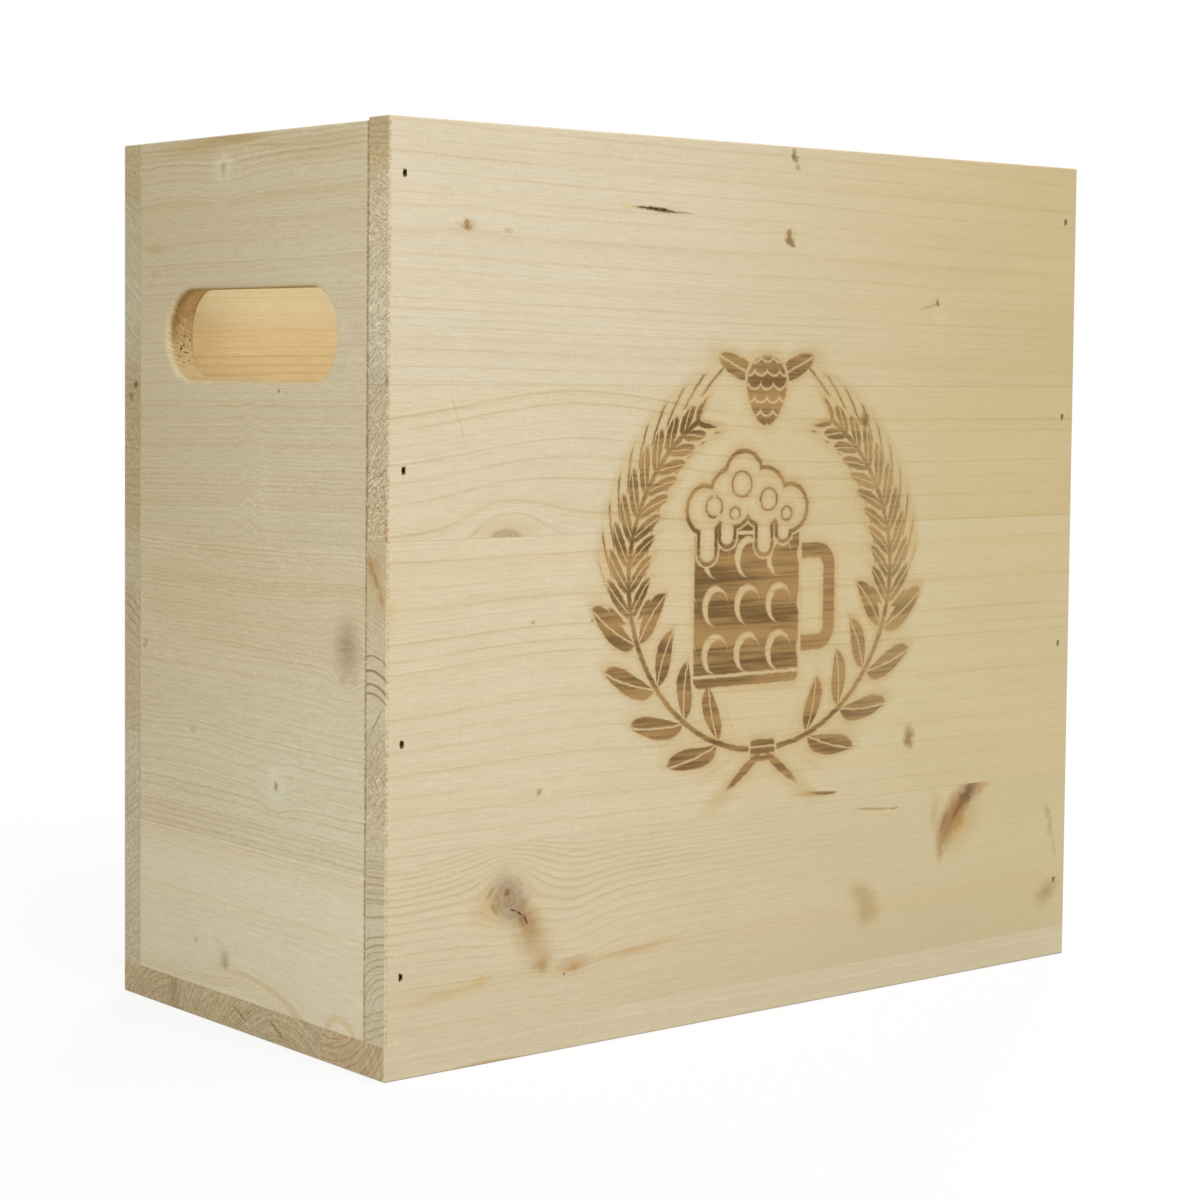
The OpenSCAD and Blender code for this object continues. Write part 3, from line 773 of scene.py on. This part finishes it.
wood("front_bottom", "front", 11, 70.5, (217, 202, 170), (208, 192, 152), spacing=3, strength=0.3,
    slope=-0.012, drift=0.9, seed=4, slant=0.6, fan=-0.026, seams=(0, 0.35), calm=(30, -60),
    soften=(-70, 150), end_strength=0.3, end_spacing=1.3, end_shows=(208, 196, 165),
    parts=[(-109.9, 53, 8, 7.4)], brads=(32.6, 29.2), knots=[(-109.6, 52.2, 12.4, 15.6, "grey", 28)],
    rings=[
        (54.4, 0.6, 1.4, 0.3), (51.8, 0.55, 1.4, 0.3), (49, 0.45, 1.6, 0.3), (45.6, 0.4), (42, 0.35),
        (38.5, 0.35), (35, 0.3), (31, 0.3), *lines(1.2, 0.3, (68, 0.5), (66.4, 0.55), (64.6, 0.6),
        (62.6, 0.7), (60.8, 0.6), (58.8, 0.7), (56.8, 0.65))],
    ends=[
        (70.5, 0.05, 0.1, 0.2), (56, 0.12, 0.05, 0.15), (50, 0.2, 0, 0.05), (24, 0.3, 0, 0),
        (21, 0.35, 0.1, 0.1), (11, 0.4, 0.15, 0.15)],
    end_rings=[(z, k, 1.3, 0.5) for z, k in (
        (69, 0.6), (67.7, 0.5), (66.7, 0.5), (65.5, 0.45), (64, 1), (63, 0.5), (61.7, 1), (60, 0.5),
        (59, 0.7), (57, 0.9), (55.9, 0.6), (51.5, 1), (21, 0.7), (18.6, 0.65), (16, 0.8), (13.6, 0.75))],
    end_arcs=[(-1, 20, r, r, 0.45, t, 23) for r, t in (
        (26, (0.66, 0.57, 0.44)), (23.4, (0.64, 0.55, 0.42)), (21.2, (0.8, 0.72, 0.6)),
        (19, (0.78, 0.7, 0.58)), (16.8, (0.72, 0.63, 0.5)), (14.5, (0.84, 0.77, 0.66)),
        (12.6, (0.78, 0.7, 0.58)), (10.4, (0.84, 0.77, 0.66)), (8, (0.8, 0.72, 0.6)))],
    bends=[
        (-84, 42, 15, 20, -4.5), (100, 66, 9, 16, -3), (-109, 66, 24, 30, 1.6)],
    spots=[
        (-110.5, 54.6, 1.5, 1.4, (0.7, 0.58, 0.44), 0.5),
        (-108, 48.4, 1.8, 0.45, (0.2, 0.15, 0.11), 0.4, -8),
        (-105.4, 47.1, 2, 0.4, (0.2, 0.15, 0.11), 0.5, -35),
        (-103, 44.7, 2.2, 0.4, (0.24, 0.18, 0.13), 0.5, -68),
        (-104.6, 44.5, 2.4, 3.2, (0.8, 0.7, 0.6), 0.3, 10),
        (-101, 44, 10, 14, (0.93, 0.86, 0.77), 0, 30),
        (-102.8, 45, 6.8, 10, (0.83, 0.75, 0.66), 0, 38),
        (-102, 40.5, 9.6, 9.6, (0.86, 0.785, 0.69), 0),
        (-98, 35, 12, 11.5, (0.89, 0.82, 0.725), 0, 16),
        (-118, 50, 12, 9, (0.93, 0.84, 0.7), 0, 38),
        (-117.5, 55, 4, 1, (0.76, 0.66, 0.54), 0.2, 52),
        (-115.5, 49.5, 4, 1.2, (0.84, 0.73, 0.6), 0.2, -58),
        (-95.6, 29.8, 7, 5.6, (0.86, 0.76, 0.64), 0, -12),
        (-96.4, 28.6, 4.4, 2.6, (0.86, 0.78, 0.68), 0.1, -20),
        (-83, 27.6, 12, 4.2, (0.83, 0.71, 0.56), 0, 4),
        (-82.5, 26.8, 5, 2, (0.9, 0.82, 0.72), 0.1, 8),
        (-86.8, 24.9, 0.6, 0.6, DARK),
        (-57, 29.1, 27, 2.2, (0.91, 0.79, 0.61), 0, 4),
        (-136, 24.4, 28, 2.8, (0.96, 0.88, 0.76), 0, 5),
        (-121, 27.4, 7, 2.4, (0.93, 0.84, 0.7), 0.2, 12),
        (-120.6, 27.4, 4.4, 1, (1.06, 1.06, 1.06), 0.3, 12),
        (55, 65.8, 13, 0.7, (0.74, 0.64, 0.5), 0.3, -5),
        (65, 65.2, 2.8, 0.8, (0.62, 0.52, 0.4), 0.3, 0, 60, True),
        (100, 59, 24, 14, (0.89, 0.79, 0.64), 0, 52),
        (95.5, 59.5, 18, 7.4, (0.83, 0.72, 0.6), 0.1, 56),
        (105.5, 69, 11.5, 7, (0.68, 0.58, 0.49), 0.05, 38),
        (98, 62, 11.5, 6.8, (0.71, 0.59, 0.48), 0.05, 52),
        (91.2, 53, 11, 5.8, (0.74, 0.61, 0.49), 0, 70),
        (89, 46, 6.5, 2.6, (0.84, 0.73, 0.6), 0, 80),
        (103.2, 67, 8, 3.6, (0.48, 0.46, 0.48), 0.05, 44),
        (97.6, 60.6, 6.5, 1.5, (0.69, 0.63, 0.59), 0.1, 56),
        (90.4, 56.4, 8.5, 1.8, (0.78, 0.68, 0.58), 0, 64),
        (98.8, 56, 9.5, 3.6, (1, 0.81, 0.62), 0, 58),
        (112.5, 69.4, 7, 2.6, (0.95, 0.82, 0.66), 0, 10),
        (86, 62, 4, 12, (0.89, 0.83, 0.76), 0, -4),
        (49, 36.2, 10, 6.4, (0.83, 0.72, 0.58), 0, -20),
        (52.4, 28.8, 8.8, 8.2, (0.81, 0.715, 0.59), 0, 20),
        (147.8, 55.6, 2.8, 4.8, (0.78, 0.74, 0.66), 0, 26),
        (149.6, 50, 2.8, 5.4, (0.76, 0.72, 0.64), 0, -6),
        (151.8, 42, 1.6, 8, (0.88, 0.84, 0.76), 0, 14),
        (147.6, 25.2, 10, 6, (0.76, 0.64, 0.51), 0, 24),
        (0, 4, 400, 34, (0.93, 0.92, 0.9), 0),
        (-154.5, 10, 3.2, 3, LIGHT, 0.8, 0, 2)])
wood("left_top", "left", 165, 299, (210, 197, 164), (199, 185, 150),
    spacing=lambda z: 1.9 if z < 206 else 2.4, strength=0.58, slope=0.02, drift=1.8, seed=5, slant=0.5,
    seams=(0, 0.2), bends=[(15.4, 282, 20, 10, -3), (-1, 184, 4, 20, 3.9)], slot=True, wobble=1.5, jag=1.1,
    grit=1.5, fine=0.2, knots=[(15.4, 288.2, 9, 8, "pale")],
    rings=[
        (292, 0.7, 2.4, 0.6), (289.8, 0.6, 2, 0.3), (278.4, 0.5, 5, 2.4), (270.6, 0.5, 4.4, 1.8),
        (268, 0.4, 1.2, 0.3), (264.5, 0.5, 2.6, 0.8), (256.5, 0.45, 2, 0.5), (252, 0.4), (247, 0.3),
        (210.5, 0.6), (206.5, 0.6), *lines(1.6, 0.3, (298, 0.7), (296, 0.8), (294.2, 0.6), (287, 0.45))],
    spots=[
        (15.4, 289.2, 1.8, 1.2, (0.84, 0.79, 0.71), 0.1),
        (15.2, 285.6, 1.2, 2.8, (0.91, 0.86, 0.78), 0.1, -14),
        (15.4, 293.5, 1.4, 4, LIGHT, 0.1),
        (6, 297.6, 36, 2.6, (0.8, 0.7, 0.54), 0, 1),
        (-14, 294.4, 26, 1, (0.88, 0.79, 0.64), 0, 3),
        (11, 290, 6, 1.2, LIGHT, 0.1, 20),
        (19, 290, 6, 1.2, LIGHT, 0.1, -24),
        (-19.1, 214.8, 1, 0.9, (0.5, 0.45, 0.4)),
        (30, 296, 42, 5, (0.9, 0.8, 0.66), 0),
        (-45, 293, 45, 7, (0.94, 0.89, 0.8), 0),
        (-10, 183, 9, 20, (1.05, 1.065, 1.07), 0),
        (60, 262, 11, 2.5, (0.88, 0.83, 0.74), 0),
        (60, 254, 6, 2, (0.92, 0.88, 0.8), 0)])
wood("left_middle", "left", 63, 165, (215, 203, 172), (203, 189, 155),
    spacing=lambda z: 1.6 if z > 122 else 3.2, strength=0.58, drift=1.4, seed=6, slant=-0.6,
    seams=(0.2, 0.3), bends=[(-18, 80, 9, 6, -3), (30, 98, 24, 14, 2)], wobble=1.4, jag=1, grit=1.5,
    fine=0.18, parts=[(-59.3, 131, 6, 7)], knots=[(-18, 85.2, 9, 9, "pale")],
    rings=[
        (80.6, 0.6, 3, 0.5), (77.8, 0.6, 2.4, 0.4), (72.2, 0.8, 1.2, 0.3), (70.4, 0.7, 1.2, 0.3),
        (68.4, 0.6, 1, 0.3), (66, 0.85, 1.4, 0.3), (64, 0.7, 1, 0.3)],
    spots=[
        (-10, 146, 98, 26, (0.97, 0.94, 0.89), 0.6),
        # Painted light: a lighter band low on the end, as from the floor's bounce
        (0, 84, 400, 24, (1.02, 1.05, 1.07), 0),
        (-59.3, 134, 12.5, 17, (0.9, 0.87, 0.85), 0),
        (-59.6, 133.6, 10.6, 14, (0.78, 0.745, 0.75), 0.1),
        (-59.9, 135, 5.6, 8, (0.95, 0.92, 0.93), 0),
        (-57, 124, 3, 2.4, (0.93, 0.86, 0.76), 0.3),
        (-64, 123.5, 2.6, 2.2, (0.94, 0.88, 0.79), 0.3),
        (66.2, 125.4, 2.2, 1.8, (0.7, 0.66, 0.62), 0),
        (34.1, 98.3, 3.4, 1.8, (0.86, 0.81, 0.72), 0),
        (-18, 85.6, 2.2, 2.2, (0.6, 0.53, 0.45), 0.1),
        (-18, 90, 4, 2.4, LIGHT, 0)])
wood("left_bottom", "left", 11, 63, (222, 211, 181), (213, 201, 170), spacing=2.2, strength=0.22, drift=1.2,
    seed=7, slant=0.6, seams=(0, 0.2), wobble=1.4, jag=0.9, grit=1.2, fine=0.16,
    bends=[(2, 19, 20, 8, 3.4), (-50, 18, 24, 12, -5)],
    rings=[
        (62.2, 0.8, 1.2, 0.3), (60.8, 0.7, 1.2, 0.3), (19.5, 0.4), (14.5, 0.4)],
    arcs=[
        (8, 5, 44, 14.7, 1.7, (0.92, 0.84, 0.7), None, (24, 2)),
        (-56, 8.6, 8, 6.8, 2.2, (0.94, 0.87, 0.73))],
    spots=[
        (13.7, 23, 5.2, 5, (0.68, 0.61, 0.54), 0),
        (13.4, 21, 2.6, 2.6, (0.82, 0.74, 0.65), 0),
        (31.9, 26.2, 2, 1.4, (0.76, 0.68, 0.56), 0),
        (-56, 11.5, 6, 2.6, (1.02, 1.03, 1.05), 0.3)])
wood("right_top", "right", 178, 299, (214, 200, 164), spacing=4.6, seed=8, slant=0.6,
    bends=[(20, 240, 40, 30, 5)], slot=True, knots=[(-38, 271, 6, 6.5, "brown")],
    parts=[(-38, 271, 4.5, 4)])
wood("right_middle", "right", 82, 178, (212, 197, 160), spacing=3.6, seed=9, slant=-0.5,
    bends=[(-10, 120, 30, 30, 6)], knots=[(34, 118, 8.5, 9.5, "grey", 20)], parts=[(34, 118, 6, 5.5)])
wood("right_bottom", "right", 11, 82, (216, 202, 167), seed=10, slant=0.4)
wood("back_top", "back", 236, 299, (216, 202, 168),
    rings=[(258, 0.5), (254, 0.5), (250.5, 0.45), (246, 0.3)], spacing=5.5, seed=11,
    end_shows=(193, 184, 152), end_spacing=2.6, seams=(0.12, 0), slope=-0.015, slant=-0.9,
    knots=[(62, 262, 7, 5.5, "brown")], parts=[(62, 262, 5, 3.6)], brads=(278.8, 282),
    ends=[
        (299, 0.2, 0.3, 0.8), (281, 0.3, 0.3, 0.7), (272, 0.8, 0.3, 0.15), (236, 0.8, 0.3, 0)],
    spots=[
        (0, 267, 400, 60, (0.94, 0.955, 0.97), 0.8, *INNER),
        (0, 236, 400, 10, (0.97, 0.93, 0.87), 0, *INNER)])
wood("back_upper", "back", 146, 236, (214, 199, 162), spacing=4.4, strength=0.5, seed=12,
    end_shows=(192, 181, 150), slant=0.8, end_spacing=2.6, bends=[(30, 190, 70, 45, 9)],
    brads=(179.3, 185.6), knots=[(-88, 196, 11, 10, "grey", 30)], seams=(0.4, 0), parts=[(-88, 196, 9, 7)],
    rings=[(z, 0.55, 2.2, 0.9) for z in (
        233.4, 230, 226.6, 223, 219.4, 215.6)],
    ends=[
        (236, 0.8, 0.3, 0.1), (226, 0.6, 0.4, 0.3), (214, -0.3, 0.5, 0.8), (200, 0, 0.5, 0.8),
        (170, 0.1, 0.3, 0.8), (158, 0.1, 0.2, 0.3), (146, 0.1, 0.2, 0.25)],
    spots=[
        (0, 191, 400, 60, (0.93, 0.895, 0.85), 0.8, *INNER),
        # Painted light: a lighter patch on the inner face near the left end, where the end panel shades it
        (-132, 224, 28, 24, (1.1, 1.11, 1.12), 0, *INNER)],
    end_spots=[
        (8, 215.5, 2.6, 1.8, (0.44, 0.36, 0.29), 0.2, 30),
        (5, 211.5, 2.4, 2, (0.62, 0.52, 0.42), 0.1)])
wood("back_lower", "back", 94, 146, (211, 195, 156), rings=[(141, 0.9), (137, 0.9), (133, 0.8)],
    spacing=3.2, strength=0.5, seed=13, slope=0.01, slant=-0.7, bends=[(-60, 120, 50, 30, -6)],
    end_shows=(196, 183, 152), brads=(121, 124.2), end_spacing=2.6,
    end_rings=[(140.5, 0.8), (137, 0.9), (133, 0.7), (129, 0.6)],
    ends=[
        (146, 0.2, 0.4, 0.3), (137, 0.6, 0.4, 0.5), (126, 0.4, 0.4, 0.4), (112, 0, 0.4, 0.4),
        (94, -0.4, 0.4, 0.2)])
wood("back_bottom", "back", 11, 94, (217, 202, 166), spacing=6.2, strength=0.5, seed=14, slant=-0.8,
    bends=[(40, 60, 60, 60, 12)], end_shows=(198, 187, 158), end_spacing=3,
    knots=[(108, 38, 7, 6.5, "brown")], parts=[(108, 38, 5, 4)], brads=(49.2, 43.4),
    ends=[
        (94, -0.5, 0.45, 0.15), (60, -0.6, 0.5, 0.1), (11, -0.5, 0.45, 0.15)])
wood("base_front", "base", -81, -46, (214, 199, 168), (212, 199, 167), spacing=2.2, strength=0.2, seed=15,
    seams=(0, 0.3), end_shows=(202, 184, 151), pith=(-50, 27), end_strength=0.9, end_spacing=2.3,
    spots=[(-118, -81, 20, 3, (0.8, 0.68, 0.5), 0.1, 0, 1.8)])
wood("base_middle", "base", -46, 51, (214, 199, 163), spacing=2.2, strength=0.6, seed=16, seams=(0.3, 0.3),
    end_shows=(200, 187, 155), pith=(-22, -24), end_strength=1, end_spacing=1.9,
    knots=[(58, 22, 8, 7, "brown")], parts=[(58, 22, 5, 4)],
    end_spots=[
        (5.5, 47, 30, 6, (0.84, 0.8, 0.74), 0.2),
        (6, 3.5, 6, 0.7, (0.62, 0.54, 0.42), 0.3, 62),
        (5, -19, 7.5, 0.8, (0.62, 0.54, 0.42), 0.3, 62)])
wood("base_back", "base", 51, 81, (212, 196, 158), spacing=2.6, strength=0.5, seed=17, seams=(0.3, 0),
    end_shows=(197, 181, 148), pith=(45, -20), end_strength=0.8, end_spacing=2.4)


def steel():
    """Dull wire, darkened where it was cut and set into the wood; the brads at the right are pale, partly
    painted light.
    """
    material, tree, shader = new_material("brad_steel")
    coordinates = new_node(tree, "TexCoord")
    at = Place(tree, coordinates.outputs["Object"]).scaled(IN_MM)
    scratch = at.noise((0.25, 2.5, 0.25), 2.0, 0.6)
    stain = at.noise((0.7, 0.7, 0.7), 2.0, 0.6)
    # The brads at the right, x over 0, are cleaner, and paler than steel: painted light that lifts the
    # shade of their recesses
    dark = blend(tree, stain, linear(88, 66, 40), linear(136, 112, 80))
    clean_pale_painted_light = blend(tree, stain, linear(222, 206, 172), linear(238, 224, 194))
    colour = blend(tree, at.parts()[0].step(-100.0, 100.0), dark, clean_pale_painted_light)
    tree.links.new(colour.socket, shader.inputs["Base Color"])
    shader.inputs["Metallic"].default_value = 0.4
    feed(tree, shader.inputs["Roughness"], scratch.times_plus(0.3, 0.4))
    return material


MATERIALS["brad_steel"] = steel()
for name, node in nodes.items():
    board = name.replace("_end_", "_").removesuffix("_board")
    material = MATERIALS.get(board, MATERIALS["brad_steel"])
    node.data.materials.clear()
    node.data.materials.append(material)

# ---------------------------------------------------------------- studio

AMBIENT = 0.27  # strength of the white surroundings on the object
WHITE = (1.0, 1.0, 1.0, 1.0)
FLOOR_REACH, FLOOR_TOP = 6.0, -0.0002
FLOOR_SEEN, FLOOR_BOUNCE = (0.88, 0.88, 0.87), (0.45, 0.45, 0.44)
NEAR, FAR = 0.45, 1.3  # the floor turns white between these distances from the middle
LAMPS = {
    # where, aim, size, watts and colour
    "key": ((-0.25, -1.75, 2.0), (0.0, 0.0, 0.15), (1.5, 1.2), 41.0, (1.0, 0.99, 0.97)),
    "fill": ((0.9, -0.7, 2.3), (0.0, 0.0, 0.15), (1.4, 1.4), 17.0, (1.0, 0.98, 0.94)),
    "side": ((-1.4, -0.45, 0.2), (0.0, 0.0, 0.1), (1.0, 0.5), 8.9, (1.0, 1.0, 0.97)),
    "back": ((1.6, 1.6, 1.4), (0.0, 0.0, 0.1), (1.2, 1.0), 44.0, (1.0, 0.98, 0.95)),
}
# The camera that was fitted to the photograph's corners
CAMERA_AT = (-0.646532, -0.784809, 0.225335)
CAMERA_RIGHT, CAMERA_UP = Vector((0.76653, -0.64212, 0.01040)), Vector((0.02738, 0.04886, 0.99843))
SENSOR, LENS = 36.0, 83.222
SHIFT, CLIP = (-0.03357, -0.07105), (0.01, 50.0)

world = bpy.data.worlds.new("studio")
bpy.context.scene.world = world
world.use_nodes = True
tree = world.node_tree
tree.nodes.clear()
output = new_node(tree, "OutputWorld")
background = new_node(tree, "Background")
background.inputs["Color"].default_value = WHITE


def seen_rays(tree):
    """1 for rays that show the background: the camera's own, and those through gloss or glass."""
    path = new_node(tree, "LightPath")
    first = Field(tree, path.outputs["Is Camera Ray"])
    glossy = Field(tree, path.outputs["Is Glossy Ray"])
    return first.most(glossy).most(Field(tree, path.outputs["Is Transmission Ray"]))


feed(tree, background.inputs["Strength"], seen_rays(tree).times_plus(1.0 - AMBIENT, AMBIENT))
tree.links.new(background.outputs[0], output.inputs[0])

floor_mesh = bpy.data.meshes.new("floor")
corners = [(x * FLOOR_REACH, y * FLOOR_REACH, FLOOR_TOP) for x, y in ((-1, -1), (1, -1), (1, 1), (-1, 1))]
floor_mesh.from_pydata(corners, [], [(0, 1, 2, 3)])
floor = bpy.data.objects.new("floor", floor_mesh)
bpy.context.scene.collection.objects.link(floor)
material = bpy.data.materials.new("pale_floor")
material.use_nodes = True
tree = material.node_tree
tree.nodes.clear()
output = new_node(tree, "OutputMaterial")
diffuse = new_node(tree, "BsdfDiffuse")
feed(tree, diffuse.inputs["Color"], blend(tree, seen_rays(tree), FLOOR_BOUNCE, FLOOR_SEEN))
white = new_node(tree, "Emission")
white.inputs["Color"].default_value = WHITE
mix = new_node(tree, "MixShader")
floor_at = Place(tree, new_node(tree, "TexCoord").outputs["Object"])
white_share = floor_at.length().step(NEAR, FAR).times_plus(0.14, 0.86)
feed(tree, mix.inputs[0], seen_rays(tree) * white_share)
tree.links.new(diffuse.outputs[0], mix.inputs[1])
tree.links.new(white.outputs[0], mix.inputs[2])
tree.links.new(mix.outputs[0], output.inputs[0])
floor_mesh.materials.append(material)


def area_light(name, where, aim, size, power, colour):
    """A rectangular lamp that faces its aim."""
    data = bpy.data.lights.new(name, "AREA")
    data.shape = "RECTANGLE"
    data.size, data.size_y = size
    data.energy = power
    data.color = colour
    lamp = bpy.data.objects.new(name, data)
    lamp.location = where
    lamp.rotation_euler = (Vector(aim) - Vector(where)).to_track_quat("-Z", "Y").to_euler()
    bpy.context.scene.collection.objects.link(lamp)


for name, settings in LAMPS.items():
    area_light(name, *settings)

camera_data = bpy.data.cameras.new("camera")
camera = bpy.data.objects.new("camera", camera_data)
bpy.context.scene.collection.objects.link(camera)
turned = Matrix((CAMERA_RIGHT, CAMERA_UP, CAMERA_RIGHT.cross(CAMERA_UP))).transposed().to_4x4()
camera.matrix_world = Matrix.Translation(CAMERA_AT) @ turned
camera_data.sensor_width, camera_data.lens = SENSOR, LENS
camera_data.shift_x, camera_data.shift_y = SHIFT
camera_data.clip_start, camera_data.clip_end = CLIP
bpy.context.scene.camera = camera
bpy.context.scene.view_settings.view_transform = "Standard"
